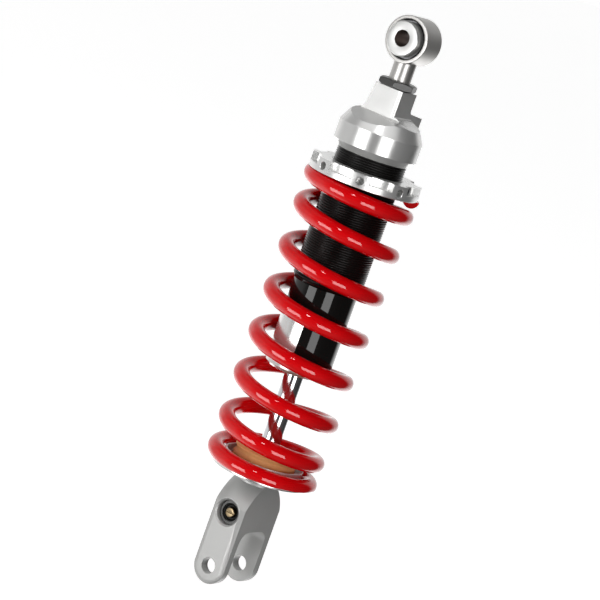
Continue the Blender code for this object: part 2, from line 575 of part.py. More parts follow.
def build_spring(datum, metals):
    """Closed coil spring, wound left-handed, as a swept round wire with ground ends."""
    step = 0.01
    bm = bmesh.new()
    rings = []
    for index in range(SPRING_SECTIONS + 1):
        turn = SPRING_TURNS * index / SPRING_SECTIONS
        angle = radians(SPRING_TOP_ANGLE) + 2 * pi * turn
        before = spring_height(max(0.0, turn - step))
        after = spring_height(min(SPRING_TURNS, turn + step))
        slope = (after - before) / (2 * step * 2 * pi * COIL_RADIUS)
        outward = Vector((cos(angle), sin(angle), 0.0))
        forward = Vector((-sin(angle), cos(angle), slope)).normalized()
        upward = outward.cross(forward)
        centre = outward * COIL_RADIUS + Vector((0.0, 0.0, spring_height(turn)))
        ring = []
        for side in range(WIRE_SIDES):
            lean = 2 * pi * side / WIRE_SIDES
            point = centre + (outward * cos(lean) + upward * sin(lean)) * WIRE_RADIUS
            point.z = min(max(point.z, SPRING_BOTTOM), SPRING_TOP)
            ring.append(bm.verts.new(point))
        rings.append(ring)
    for first, second in zip(rings, rings[1:]):
        for side in range(WIRE_SIDES):
            following = (side + 1) % WIRE_SIDES
            bm.faces.new((first[side], first[following], second[following], second[side]))
    bm.faces.new(rings[0])
    bm.faces.new(reversed(rings[-1]))
    place("coil_spring", finish_mesh(bm, "coil_spring"), metals["red"], datum)


def build_lower_seat(datum, metals):
    """Spring seat with a cup for the bump stop."""
    bore = ROD_RADIUS + GAP
    floor = SEAT_TOP + 1.6
    outline = [(bore, SEAT_BOTTOM), (SEAT_HUB_RADIUS, SEAT_BOTTOM), (SEAT_HUB_RADIUS, SEAT_HUB_TOP),
               (SEAT_RADIUS - 0.5, SEAT_HUB_TOP), (SEAT_RADIUS, SEAT_HUB_TOP + 0.5), (SEAT_RADIUS, SEAT_TOP),
               (CUP_RADIUS, SEAT_TOP), (CUP_RADIUS, CUP_TOP - 1.2), (CUP_RADIUS - 1.2, CUP_TOP),
               (CUP_BORE, CUP_TOP),
               (CUP_BORE, floor), (bore, floor)]
    place("lower_spring_seat", lathe_mesh("lower_spring_seat", outline, MEDIUM), metals["satin"], datum)

    low = floor + GAP
    radius = BUMP_STOP_RADIUS
    stop = [(bore, low), (radius - 1.0, low), (radius, low + 1.0), (radius, low + 6.0),
            (radius - 1.6, low + 8.0),
            (radius, low + 10.0), (radius, BUMP_STOP_TOP - 3.0), (radius - 0.9, BUMP_STOP_TOP - 0.9),
            (radius - 3.0, BUMP_STOP_TOP), (bore + 1.5, BUMP_STOP_TOP), (bore, BUMP_STOP_TOP - 1.5)]
    place("bump_stop", lathe_mesh("bump_stop", stop, MEDIUM), metals["tan"], datum)


def clevis_blank():
    """Block with round lower ears' outline and bevelled front and rear edges."""
    top = CLEVIS_TOP + 4.0
    edge = CLEVIS_HALF_WIDTH - CLEVIS_BEVEL_Y
    bm = bmesh.new()
    sections = []
    for along, inset in ((-CLEVIS_HALF_WIDTH, CLEVIS_BEVEL_X), (-edge, 0.0), (edge, 0.0),
                         (CLEVIS_HALF_WIDTH, CLEVIS_BEVEL_X)):
        radius = CLEVIS_HALF_DEPTH - inset
        outline = [(-radius, top)] + arc((0.0, 0.0), radius, 180, 360, 16) + [(radius, top)]
        sections.append([bm.verts.new((x, along, z)) for x, z in outline])
    for first, second in zip(sections, sections[1:]):
        for index in range(len(first)):
            after = (index + 1) % len(first)
            bm.faces.new((first[index], first[after], second[after], second[index]))
    bm.faces.new(sections[0])
    bm.faces.new(reversed(sections[-1]))
    return finish_mesh(bm, "clevis")


def build_clevis(datum, metals):
    """Forked lower end with its bolt holes, the adjuster bore and the rod socket."""
    clevis = place("clevis", clevis_blank(), metals["satin"], datum)
    dome = [(0.0, -20.0), (30.0, -20.0), (30.0, 30.0)] + DOME + [(DOME[-1][0], CLEVIS_TOP),
                                                                 (0.0, CLEVIS_TOP)]
    cut(clevis, lathe_mesh("clevis_dome", dome, WIDE), "INTERSECT")
    half = SLOT_HALF_WIDTH
    slot = [(-half, -20.0), (half, -20.0)]
    slot += arc((half - SLOT_CORNER, SLOT_TOP - SLOT_CORNER), SLOT_CORNER, 0, 90, 7)
    slot += arc((-half + SLOT_CORNER, SLOT_TOP - SLOT_CORNER), SLOT_CORNER, 90, 180, 7)
    cut(clevis, prism_mesh("clevis_slot", slot, -20, 20, "X"))
    reach = CLEVIS_HALF_WIDTH + 1
    cut(clevis, prism_mesh("bolt_hole", disc(BOLT_RADIUS, SMALL), -reach, reach), turn=ALONG_Y)

    face = -CLEVIS_HALF_WIDTH
    chamfer = ADJUSTER_CHAMFER
    bore = [(0.0, ADJUSTER_BACK), (ADJUSTER_BORE, ADJUSTER_BACK), (ADJUSTER_BORE, face + chamfer),
            (ADJUSTER_BORE + chamfer, face), (ADJUSTER_BORE + chamfer, face - 1), (0.0, face - 1)]
    cut(clevis, lathe_mesh("adjuster_bore", bore, MEDIUM), location=(0.0, 0.0, ADJUSTER_HEIGHT),
        turn=ALONG_Y)
    needle = NEEDLE_BORE + GAP
    rod = ROD_RADIUS + GAP
    socket = [(0.0, ADJUSTER_HEIGHT + 1), (needle, ADJUSTER_HEIGHT + 1), (needle, ROD_BOTTOM - GAP),
              (rod, ROD_BOTTOM - GAP), (rod, CLEVIS_TOP + 1), (0.0, CLEVIS_TOP + 1)]
    cut(clevis, lathe_mesh("rod_socket", socket, SMALL))


def build_adjuster(datum, metals):
    """Rebound adjuster: a black drum in the clevis bore with a slotted brass screw, held by a circlip."""
    back = ADJUSTER_BACK - GAP
    drum_outline = [(0.0, back), (DRUM_RADIUS, back), (DRUM_RADIUS, DRUM_FACE),
                    (SCREW_RADIUS + GAP, DRUM_FACE),
                    (SCREW_RADIUS + GAP, DRUM_FACE + 4.0), (0.0, DRUM_FACE + 4.0)]
    place("adjuster_drum", lathe_mesh("adjuster_drum", drum_outline, MEDIUM), metals["black"], datum,
          turn=ALONG_Y)

    low = DRUM_FACE + 4.0 - GAP
    screw_outline = [(0.0, low), (SCREW_RADIUS, low), (SCREW_RADIUS, SCREW_FACE + 0.5),
                     (SCREW_RADIUS - 0.5, SCREW_FACE), (0.0, SCREW_FACE)]
    screw = place("adjuster_screw", lathe_mesh("adjuster_screw", screw_outline, SMALL), metals["brass"],
                  datum,
                  turn=ALONG_Y)
    slot = [(SCREW_FACE - 1, -0.5), (SCREW_FACE - 1, 0.5), (SCREW_FACE + 1.4, 0.5), (SCREW_FACE + 1.4, -0.5)]
    cut(screw, prism_mesh("screw_slot", slot, -5, 5, "X"))

    clip_face = DRUM_FACE - GAP
    clip = ring_outline(5.9, ADJUSTER_BORE - GAP, clip_face - 0.9, clip_face)
    place("adjuster_circlip", lathe_mesh("adjuster_circlip", clip, MEDIUM), metals["black"], datum,
          turn=ALONG_Y)


def main():
    """Build every piece under its datum."""
    clear_scene()
    metals = {
        "satin": make_material("satin_aluminium", (0.62, 0.62, 0.61), 0.32, 1.0),
        "polished": make_material("polished_aluminium", (0.80, 0.80, 0.79), 0.20, 1.0),
        "steel": make_material("bright_steel", (0.55, 0.55, 0.56), 0.28, 1.0),
        "chrome": make_material("hard_chrome", (0.72, 0.72, 0.74), 0.08, 1.0),
        "black": make_material("black_anodised", (0.012, 0.011, 0.010), 0.35, 0.2),
        "red": make_material("red_powder_coat", (0.52, 0.004, 0.008), 0.22, 0.0),
        "rubber": make_material("black_rubber", (0.01, 0.01, 0.01), 0.6, 0.0),
        "tan": make_material("tan_elastomer", (0.42, 0.24, 0.11), 0.55, 0.0),
        "bronze": make_material("bronze", (0.45, 0.28, 0.13), 0.4, 1.0),
        "brass": make_material("brass", (0.62, 0.44, 0.18), 0.3, 1.0),
    }
    top_eye = make_datum("top_eye_datum", 0.0)
    lower_bolt = make_datum("lower_bolt_datum", -EYE_TO_CLEVIS)
    adjuster = make_datum("adjuster_datum", ADJUSTER_HEIGHT - EYE_TO_CLEVIS)
    build_top_eye(top_eye, metals)
    build_jam_nut(lower_bolt, metals)
    build_top_cap(lower_bolt, metals)
    build_tube(lower_bolt, metals)
    build_gland(lower_bolt, metals)
    build_rod(lower_bolt, metals)
    build_floating_piston(lower_bolt, metals)
    build_preload_ring(lower_bolt, metals)
    build_spring(lower_bolt, metals)
    build_lower_seat(lower_bolt, metals)
    build_clevis(lower_bolt, metals)
    build_adjuster(adjuster, metals)
    bpy.context.view_layer.update()


main()
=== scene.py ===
"""Looks of a coil-over rear shock absorber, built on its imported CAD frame.

Shapes are worked out in millimetres. Heights on the damper axis are measured up from the lower bolt, and
to_object() puts them in the row frame, in metres, where the origin is the centre of the top eye.
"""
import json
from math import asin, cos, degrees, pi, radians, sin, tan

import bmesh
import bpy
from mathutils import Matrix, Vector


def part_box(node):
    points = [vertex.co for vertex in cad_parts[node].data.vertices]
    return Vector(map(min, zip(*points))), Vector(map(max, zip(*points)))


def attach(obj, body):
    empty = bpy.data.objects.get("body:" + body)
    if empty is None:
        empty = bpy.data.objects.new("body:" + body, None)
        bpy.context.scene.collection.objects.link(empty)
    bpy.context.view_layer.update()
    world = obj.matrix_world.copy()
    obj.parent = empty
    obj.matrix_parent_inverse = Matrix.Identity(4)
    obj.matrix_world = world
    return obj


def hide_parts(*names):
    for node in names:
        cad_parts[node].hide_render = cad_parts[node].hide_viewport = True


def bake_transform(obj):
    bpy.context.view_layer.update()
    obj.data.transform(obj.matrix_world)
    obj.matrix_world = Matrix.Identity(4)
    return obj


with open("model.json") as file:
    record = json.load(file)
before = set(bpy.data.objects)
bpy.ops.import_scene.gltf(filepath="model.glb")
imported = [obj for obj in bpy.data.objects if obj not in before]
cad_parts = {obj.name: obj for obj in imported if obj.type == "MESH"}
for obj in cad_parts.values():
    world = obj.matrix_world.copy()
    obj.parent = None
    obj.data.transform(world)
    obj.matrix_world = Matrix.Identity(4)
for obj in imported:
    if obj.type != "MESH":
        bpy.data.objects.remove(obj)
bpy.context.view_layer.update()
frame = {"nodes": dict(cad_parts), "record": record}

MM = 0.001

# The camera: where it stands, seen from the aim point near the middle of the damper axis
VIEW_AZIMUTH = 30.48            # degrees, from -Y towards +X
VIEW_ELEVATION = 9.58
VIEW_ROLL = 19.57
VIEW_DISTANCE = 1739.9          # mm
AIM_HEIGHT = 175.1              # mm above the lower bolt
AIM_SIDEWAYS = -12.35           # mm towards the camera's right
LENS = 167.96                   # mm, on a 36 mm sensor

# Sizes that more than one piece has: radii and a gap, in mm
SHANK_HOLE = 7.3                # for the threaded shank of the eye
ROD_HOLE = 6.55                 # for the piston rod
BOLT_HOLE = 5.0
TUBE_SPIGOT = 18.1              # of the cap and the gland, inside the tube
CLEARANCE = 0.3                 # gap between neighbouring pieces

# Places read from the frame
CLEVIS_LOW, CLEVIS_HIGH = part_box("clevis")
EAR_RADIUS = CLEVIS_HIGH.x / MM
BOLT_Z = CLEVIS_LOW.z + CLEVIS_HIGH.x      # height of the lower bolt in the row frame


def heights(node):
    """Lowest and highest point of a CAD node, in mm above the lower bolt."""
    low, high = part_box(node)
    return (low.z - BOLT_Z) / MM, (high.z - BOLT_Z) / MM


def outer_radius(node):
    """Radius of a turned CAD node, in mm."""
    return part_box(node)[1].x / MM


EYE_HEIGHT = -BOLT_Z / MM

METALS = bpy.data.collections.new("satin_metals")      # the only pieces that the overhead glow lights

# --------------------------------------------------------------------------- mesh helpers


def arc(centre, radius, start, end, steps):
    """Points of an arc in a plane, angles in degrees, both ends included."""
    angles = [radians(start + (end - start) * i / steps) for i in range(steps + 1)]
    return [(centre[0] + radius * cos(a), centre[1] + radius * sin(a)) for a in angles]


def soften(outline, radius=0.3, steps=3):
    """Round the corners of a closed outline. A point may carry its own radius as a third value.
    Corners that are nearly straight or folded back stay sharp."""
    straight, folded, longest = radians(172), radians(5), 0.45
    count = len(outline)
    result = []
    for index, point in enumerate(outline):
        here = Vector(point[:2])
        want = point[2] if len(point) > 2 else radius
        before = Vector(outline[index - 1][:2]) - here
        after = Vector(outline[(index + 1) % count][:2]) - here
        if want <= 0 or before.length < 1e-6 or after.length < 1e-6:
            result.append(tuple(here))
            continue
        bend = before.angle(after)
        if bend > straight or bend < folded:
            result.append(tuple(here))
            continue
        reach = min(want / tan(bend / 2), before.length * longest, after.length * longest)
        start = here + before.normalized() * reach
        end = here + after.normalized() * reach
        for step in range(steps + 1):
            t = step / steps
            result.append(tuple(start * (1 - t) ** 2 + here * 2 * t * (1 - t) + end * t * t))
    return result


def disc(radius, steps, turn=0.0):
    """Points of a circle, or of a polygon."""
    return arc((0.0, 0.0), radius, turn, turn + 360.0, steps)[:-1]


def drill_outline(radius, low, high, chamfer):
    """Lathe outline of a tool that bores right through from low to high and chamfers both mouths."""
    mouth = radius + chamfer
    return [(0.0, low - 1), (mouth + 1, low - 1), (mouth, low), (radius, low + chamfer),
            (radius, high - chamfer), (mouth, high), (mouth + 1, high + 1), (0.0, high + 1)]


def ring_of_verts(bm, radius, height, steps):
    """Vertices of a level circle about the damper axis."""
    angles = [2 * pi * step / steps for step in range(steps)]
    return [bm.verts.new((radius * cos(a), radius * sin(a), height)) for a in angles]


def bridge(bm, first, second, closed=True):
    """Faces between two rows of vertices."""
    count = len(first)
    for index in range(count if closed else count - 1):
        after = (index + 1) % count
        bm.faces.new((first[index], first[after], second[after], second[index]))


def to_object(bm, name, height=0.0, smooth=32.0):
    """Object in the row frame from a millimetre bmesh drawn from a height above the lower bolt."""
    bm.transform(Matrix.Translation((0.0, 0.0, BOLT_Z + height * MM)) @ Matrix.Scale(MM, 4))
    mesh = bpy.data.meshes.new(name)
    bm.to_mesh(mesh)
    bm.free()
    mesh.shade_smooth()
    mesh.set_sharp_from_angle(angle=radians(smooth))
    obj = bpy.data.objects.new(name, mesh)
    bpy.context.scene.collection.objects.link(obj)
    return obj


def to_frame(bm, name, axis="Z", height=0.0, smooth=32.0):
    """Clean a millimetre bmesh, lay it along its axis at a height above the lower bolt, return its object.
    The axis is "Z", "Y" or, for a level axis, its angle from +X in degrees."""
    bmesh.ops.remove_doubles(bm, verts=bm.verts, dist=0.0004)
    bmesh.ops.dissolve_degenerate(bm, edges=bm.edges, dist=0.0001)
    bmesh.ops.recalc_face_normals(bm, faces=bm.faces)
    turn = {"Z": Matrix.Identity(4), "Y": Matrix.Rotation(radians(-90), 4, "X")}
    if axis in turn:
        bm.transform(turn[axis])
    else:
        bm.transform(Matrix.Rotation(radians(axis), 4, "Z") @ Matrix.Rotation(radians(90), 4, "Y"))
    return to_object(bm, name, height, smooth)


def lathe(name, outline, steps=128, axis="Z", height=0.0, smooth=32.0):
    """Turn a closed outline of (radius, height) points about its axis."""
    bm = bmesh.new()
    rings = []
    for step in range(steps):
        angle = 2 * pi * step / steps
        rings.append([bm.verts.new((r * cos(angle), r * sin(angle), h)) for r, h in outline])
    count = len(outline)
    for step, ring in enumerate(rings):
        following = rings[(step + 1) % steps]
        for index in range(count):
            after = (index + 1) % count
            if outline[index][0] == 0 and outline[after][0] == 0:
                continue
            bm.faces.new((ring[index], following[index], following[after], ring[after]))
    return to_frame(bm, name, axis, height, smooth)


def prism(name, outline, low, high, along="Z", height=0.0):
    """Extrude an outline along an axis. Its points are (y, z) for X, (x, z) for Y and (x, y) for Z."""
    bm = bmesh.new()
    ends = []
    for level in (low, high):
        places = {"X": [(level, a, b) for a, b in outline],
                  "Y": [(a, level, b) for a, b in outline],
                  "Z": [(a, b, level) for a, b in outline]}
        ends.append([bm.verts.new(place) for place in places[along]])
    floor, roof = ends
    bm.faces.new(floor)
    bm.faces.new(roof)
    bridge(bm, floor, roof)
    return to_frame(bm, name, height=height)


def carve(target, tool, operation="DIFFERENCE"):
    """Boolean a tool into a target and remove the tool."""
    modifier = target.modifiers.new("carve", "BOOLEAN")
    modifier.operation = operation
    modifier.solver = "EXACT"
    modifier.object = tool
    settle(target)
    bpy.data.objects.remove(tool, do_unlink=True)


def settle(obj):
    """Apply an object's modifiers to its mesh."""
    bpy.context.view_layer.update()
    evaluated = obj.evaluated_get(bpy.context.evaluated_depsgraph_get())
    mesh = bpy.data.meshes.new_from_object(evaluated)
    obj.modifiers.clear()
    obj.data = mesh


def break_edges(obj, width=0.3, segments=2, angle=28.0):
    """Give a machined piece small rounded edges."""
    modifier = obj.modifiers.new("edges", "BEVEL")
    modifier.width = width * MM
    modifier.segments = segments
    modifier.limit_method = "ANGLE"
    modifier.angle_limit = radians(angle)
    modifier.use_clamp_overlap = True
    modifier.miter_outer = "MITER_ARC"
    settle(obj)
    obj.data.shade_smooth()
    obj.data.set_sharp_from_angle(angle=radians(40))
    modifier = obj.modifiers.new("normals", "WEIGHTED_NORMAL")
    modifier.keep_sharp = True
    modifier.weight = 60
    settle(obj)


# --------------------------------------------------------------------------- materials


def colour_mix(tree, blend="MIX"):
    """A colour Mix node: its inputs by identifier, and its result."""
    made = tree.nodes.new("ShaderNodeMix")
    made.data_type = "RGBA"
    made.blend_type = blend
    outputs = {s.identifier: s for s in made.outputs}
    return {s.identifier: s for s in made.inputs}, outputs["Result_Color"]


class Look:
    """A material with a Principled shader and short calls for the nodes that feed it."""

    def __init__(self, name, colour, roughness, metallic, **values):
        self.material = bpy.data.materials.new(name)
        self.material.use_nodes = True
        self.tree = self.material.node_tree
        self.shader = self.tree.nodes["Principled BSDF"]
        self.colour = colour
        self.shader.inputs["Base Color"].default_value = (*colour, 1.0)
        self.shader.inputs["Roughness"].default_value = roughness
        self.shader.inputs["Metallic"].default_value = metallic
        for key, value in values.items():
            self.shader.inputs[key.replace("_", " ")].default_value = value
        self.place = self.node("ShaderNodeTexCoord").outputs["Object"]

    def node(self, kind, **inputs):
        """A new node with some inputs linked to a socket or set to a value."""
        made = self.tree.nodes.new(kind)
        for key, value in inputs.items():
            self.feed(made, key.replace("_", " "), value)
        return made

    def feed(self, node, key, value):
        if isinstance(value, bpy.types.NodeSocket):
            self.tree.links.new(value, node.inputs[key])
        else:
            node.inputs[key].default_value = value

    def math(self, operation, first, second=0.0):
        """Result of a Math node on two sockets or numbers."""
        made = self.tree.nodes.new("ShaderNodeMath")
        made.operation = operation
        self.feed(made, 0, first)
        self.feed(made, 1, second)
        return made.outputs[0]

    def stretch(self, scale):
        """The place coordinates, scaled along each axis."""
        made = self.node("ShaderNodeMapping", Vector=self.place)
        made.inputs["Scale"].default_value = scale
        return made.outputs["Vector"]

    def noise(self, scale, detail=3.0, rough=0.55, place=None):
        """Noise with a scale in cells a metre."""
        made = self.node("ShaderNodeTexNoise", Vector=place or self.place, Scale=scale, Detail=detail,
                         Roughness=rough)
        return made.outputs["Fac"]

    def square_sum(self, first, second):
        return self.math("ADD", self.math("MULTIPLY", first, first), self.math("MULTIPLY", second, second))

    def lathe_marks(self, scale, about="Z"):
        """Noise that only changes along the axis and with the distance from it, as turning leaves."""
        parts = self.node("ShaderNodeSeparateXYZ", Vector=self.place).outputs
        along, across = (parts["Z"], parts["Y"]) if about == "Z" else (parts["Y"], parts["Z"])
        radius = self.math("SQRT", self.square_sum(parts["X"], across))
        made = self.tree.nodes.new("ShaderNodeTexNoise")
        made.noise_dimensions = "1D"
        self.feed(made, "W", self.math("ADD", radius, self.math("MULTIPLY", along, 1.37)))
        self.feed(made, "Scale", scale)
        self.feed(made, "Detail", 4.0)
        return made.outputs["Fac"]

    def spread(self, value, low, high, start=0.3, end=0.7):
        """Map a noise to a range of values."""
        made = self.node("ShaderNodeMapRange", Value=value)
        made.inputs["From Min"].default_value = start
        made.inputs["From Max"].default_value = end
        made.inputs["To Min"].default_value = low
        made.inputs["To Max"].default_value = high
        return made.outputs["Result"]

    def tint(self, value, dark, light):
        """Vary the base colour between two multiples of the look's colour."""
        sockets, result = colour_mix(self.tree)
        self.tree.links.new(value, sockets["Factor_Float"])
        sockets["A_Color"].default_value = (*[min(1.0, c * dark) for c in self.colour], 1.0)
        sockets["B_Color"].default_value = (*[min(1.0, c * light) for c in self.colour], 1.0)
        self.tree.links.new(result, self.shader.inputs["Base Color"])

    def paint_bore_shade(self, radius, colour):
        """Painted shade: a dark brownish wall inside a radius about the bolt axis, darkening the bore."""
        parts = self.node("ShaderNodeSeparateXYZ", Vector=self.place).outputs
        inside = self.math("LESS_THAN", self.square_sum(parts["X"], parts["Z"]), (radius * MM) ** 2)
        sockets, result = colour_mix(self.tree)
        self.tree.links.new(inside, sockets["Factor_Float"])
        self.tree.links.new(self.shader.inputs["Base Color"].links[0].from_socket, sockets["A_Color"])
        sockets["B_Color"].default_value = (*colour, 1.0)
        self.tree.links.new(result, self.shader.inputs["Base Color"])

    def rough(self, value, low, high):
        """Vary the roughness with a noise."""
        self.tree.links.new(self.spread(value, low, high), self.shader.inputs["Roughness"])

    def bump(self, value, depth, strength=1.0):
        """Bump of a depth in mm. Further calls add to the first."""
        made = self.node("ShaderNodeBump", Height=value, Strength=strength)
        made.inputs["Distance"].default_value = depth * MM
        earlier = self.shader.inputs["Normal"].links
        if earlier:
            self.tree.links.new(earlier[0].from_socket, made.inputs["Normal"])
        self.tree.links.new(made.outputs["Normal"], self.shader.inputs["Normal"])


def turned_metal(name, colour, roughness, about="Z", marks=0.004, grain=2600.0, metallic=1.0, bore_shade=0.0):
    """Machined metal with fine turning marks, a little uneven in sheen. marks is their depth in mm, and
    bore_shade the radius in mm of the bore about the eye's bolt axis whose wall gets painted shade."""
    look = Look(name, colour, roughness, metallic)
    lines = look.lathe_marks(grain, about)
    patches = look.noise(90.0)
    look.tint(patches, 0.94, 1.05)
    look.rough(look.math("ADD", look.math("MULTIPLY", lines, 0.3), look.math("MULTIPLY", patches, 0.7)),
               roughness * 0.93, roughness * 1.1)
    look.bump(lines, marks)
    # painted shade: the bore wall inside this radius is coloured dark brown
    if bore_shade:
        look.paint_bore_shade(bore_shade, colour=(0.20, 0.155, 0.14))
    return look.material


def blasted_metal(name, colour, roughness, grit=0.006, metallic=1.0):
    """Satin aluminium: fine blasted grain, faint handling marks."""
    look = Look(name, colour, roughness, metallic)
    grain = look.noise(3800.0, 2.0)
    clouds = look.noise(60.0, 4.0)
    scuffs = look.noise(500.0, 3.0, place=look.stretch((1.0, 1.0, 0.12)))
    look.tint(clouds, 0.93, 1.05)
    look.rough(look.math("ADD", look.math("MULTIPLY", scuffs, 0.5), look.math("MULTIPLY", clouds, 0.5)),
               roughness * 0.88, roughness * 1.18)
    look.bump(grain, grit)
    look.bump(scuffs, grit * 0.6)
    return look.material


def anodised(name, colour, roughness, marks=0.003, coat=0.0, sheen=0.5):
    """Black hard-anodised metal with faint turning lines."""
    look = Look(name, colour, roughness, 0.0, Coat_Weight=coat, Coat_Roughness=0.06, Coat_IOR=1.4,
                Specular_IOR_Level=sheen)
    lines = look.lathe_marks(1800.0)
    dust = look.noise(900.0, 5.0)
    look.tint(dust, 0.75, 1.4)
    look.rough(lines, roughness * 0.8, roughness * 1.25)
    look.bump(lines, marks)
    return look.material


def powder_coat(name, colour):
    """Glossy baked paint with a slight orange peel."""
    look = Look(name, colour, 0.3, 0.0, Coat_Weight=1.0, Coat_Roughness=0.03, Coat_IOR=1.56,
                Specular_IOR_Level=0.0)
    peel = look.noise(420.0, 2.0)
    shade = look.noise(35.0, 2.0)
    look.tint(shade, 0.93, 1.06)
    look.rough(look.noise(160.0), 0.26, 0.34)
    look.bump(peel, 0.012)
    return look.material


def rubber(name, colour, roughness, cells=1400.0, depth=0.03):
    """Rubber or foamed elastomer with a fine cellular skin."""
    look = Look(name, colour, roughness, 0.0)
    skin = look.noise(cells, 4.0)
    clouds = look.noise(120.0, 3.0)
    look.tint(clouds, 0.82, 1.15)
    look.rough(clouds, roughness * 0.9, min(1.0, roughness * 1.12))
    look.bump(skin, depth)
    return look.material


def make_looks():
    """Every finish by a short name. Colours are linear."""
    return {
        "cap": turned_metal("look_turned_aluminium", (0.64, 0.64, 0.63), 0.24, marks=0.00025,
                            metallic=0.68),
        "ring": turned_metal("look_ring_aluminium", (0.74, 0.74, 0.73), 0.28, marks=0.0004,
                             metallic=0.75),
        "satin": blasted_metal("look_satin_aluminium", (0.43, 0.43, 0.422), 0.42, metallic=0.4),
        "eye": blasted_metal("look_eye_aluminium", (0.50, 0.49, 0.475), 0.35, metallic=0.85),
        # the spacer's bolt bore gets painted shade
        "spacer": turned_metal("look_spacer", (0.60, 0.60, 0.59), 0.32, about="Y", marks=0.003,
                               grain=2000.0, metallic=0.8, bore_shade=BOLT_HOLE + 0.15),
        "steel": turned_metal("look_steel", (0.26, 0.26, 0.27), 0.34),
        "chrome": turned_metal("look_hard_chrome", (0.66, 0.66, 0.68), 0.13, marks=0.0006,
                               grain=4000.0),
        "thread": anodised("look_black_thread", (0.006, 0.0055, 0.005), 0.28, sheen=0.35),
        "tube": anodised("look_black_tube", (0.007, 0.0065, 0.006), 0.30, marks=0.0015, coat=1.0,
                         sheen=0.0),
        "nut": anodised("look_black_nut", (0.024, 0.023, 0.021), 0.33, sheen=1.0),
        "red": powder_coat("look_red_coat", (0.86, 0.001, 0.004)),
        "rubber": rubber("look_black_rubber", (0.010, 0.010, 0.010), 0.55),
        "tan": rubber("look_tan_elastomer", (0.85, 0.46, 0.18), 0.6, cells=900.0, depth=0.08),
        "bronze": turned_metal("look_bronze", (0.45, 0.28, 0.13), 0.4),
        "brass": turned_metal("look_brass", (0.32, 0.245, 0.145), 0.34, about="Y", marks=0.003),
        "drum": anodised("look_adjuster_drum", (0.004, 0.004, 0.004), 0.4, sheen=0.2),
        "label": blasted_metal("look_label_foil", (0.72, 0.73, 0.72), 0.22, grit=0.002, metallic=0.8),
    }


def dress(obj, look, body, replaced=(), slot=None):
    """Give a new piece its material, the body it rides on and the CAD nodes it stands for."""
    obj.data.materials.clear()
    obj.data.materials.append(look)
    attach(obj, body)
    if slot == "satin_aluminium":
        METALS.objects.link(obj)
    if replaced:
        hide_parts(*replaced)
    return obj


# --------------------------------------------------------------------------- pieces


def build_eye(looks):
    """Rod end with a necked shank, its two spacers and two lip seals, turned about the bolt axis Y."""
    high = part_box("rod_end_eye")[1]
    radius, half = high.x / MM, high.y / MM
    shank_bottom = heights("rod_end_eye")[0]
    bore = outer_radius("bearing_race") + CLEARANCE
    shank = 7.0
    ring = soften([(0.0, -half, 0), (bore + 0.9, -half, 0), (radius, -half, 0.9), (radius, half, 0.9),
                   (0.0, half, 0)])
    eye = lathe("eye_body", ring, 160, "Y", EYE_HEIGHT)
    neck_top = EYE_HEIGHT - radius + 3.0
    flare = 4.0
    neck = [(0.0, shank_bottom), (shank - 0.8, shank_bottom), (shank, shank_bottom + 0.8)]
    neck += arc((shank + flare, neck_top - 2.0), flare, 180, 128, 6) + [(0.0, neck_top + 2.0)]
    carve(eye, lathe("neck", neck, 96), "UNION")
    carve(eye, lathe("mouth", drill_outline(bore, -half, half, 0.5), 160, "Y", EYE_HEIGHT))
    break_edges(eye, 0.25)
    dress(eye, looks["eye"], "damper", ["rod_end_eye"], "satin_aluminium")

    face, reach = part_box("spacer_rear")[1].y / MM, outer_radius("spacer_rear")
    hole, spigot, inside = BOLT_HOLE, 6.5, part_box("bearing_ball")[1].y / MM + CLEARANCE
    for side, sign in (("front", -1.0), ("rear", 1.0)):
        outline = [(hole, 0.15, 0), (spigot, 0.15, 0), (spigot, inside, 0), (reach, inside),
                   (reach, face - 0.6, 0.4), (reach - 0.6, face, 0.4), (hole + 0.3, face, 0.1),
                   (hole, face - 0.3, 0.1)]
        outline = [(p[0], sign * p[1], *p[2:]) for p in outline]
        spacer = lathe("spacer_turned_" + side, soften(outline, 0.2), 128, "Y", EYE_HEIGHT)
        dress(spacer, looks["spacer"], "eye_spacers", ["spacer_" + side], "polished_aluminium")
        lip = [(reach + 0.75, inside + 0.1), (bore - 0.05, inside - 0.6), (bore - 0.05, half - 0.5, 0.4),
               (reach + 0.9, half - 1.0, 0.4)]
        lip = [(p[0], sign * p[1], *p[2:]) for p in lip]
        seal = lathe("eye_lip_seal_" + side, soften(lip, 0.15), 128, "Y", EYE_HEIGHT)
        dress(seal, looks["rubber"], "damper", ["eye_seal_" + side], "black_rubber")


def build_nut(looks):
    """Thin jam nut with turned chamfers."""
    low, high = heights("jam_nut")
    corner, first_corner = 12.7, -11.4
    nut = prism("jam_nut_body", disc(corner, 6, first_corner), low, high)
    inner, outer = corner * cos(radians(30)) - 0.3, corner + 0.3
    barrel = [(0.0, low - 1), (inner - 1, low - 1), (inner - 0.2, low), (outer, low + 1.2),
              (outer, high - 1.2), (inner - 0.2, high), (inner - 1, high + 1), (0.0, high + 1)]
    carve(nut, lathe("nut_barrel", barrel, 120), "INTERSECT")
    carve(nut, lathe("nut_hole", drill_outline(SHANK_HOLE, low, high, 0.4), 96))
    break_edges(nut, 0.2)
    dress(nut, looks["nut"], "damper", ["jam_nut"], "black_anodised")


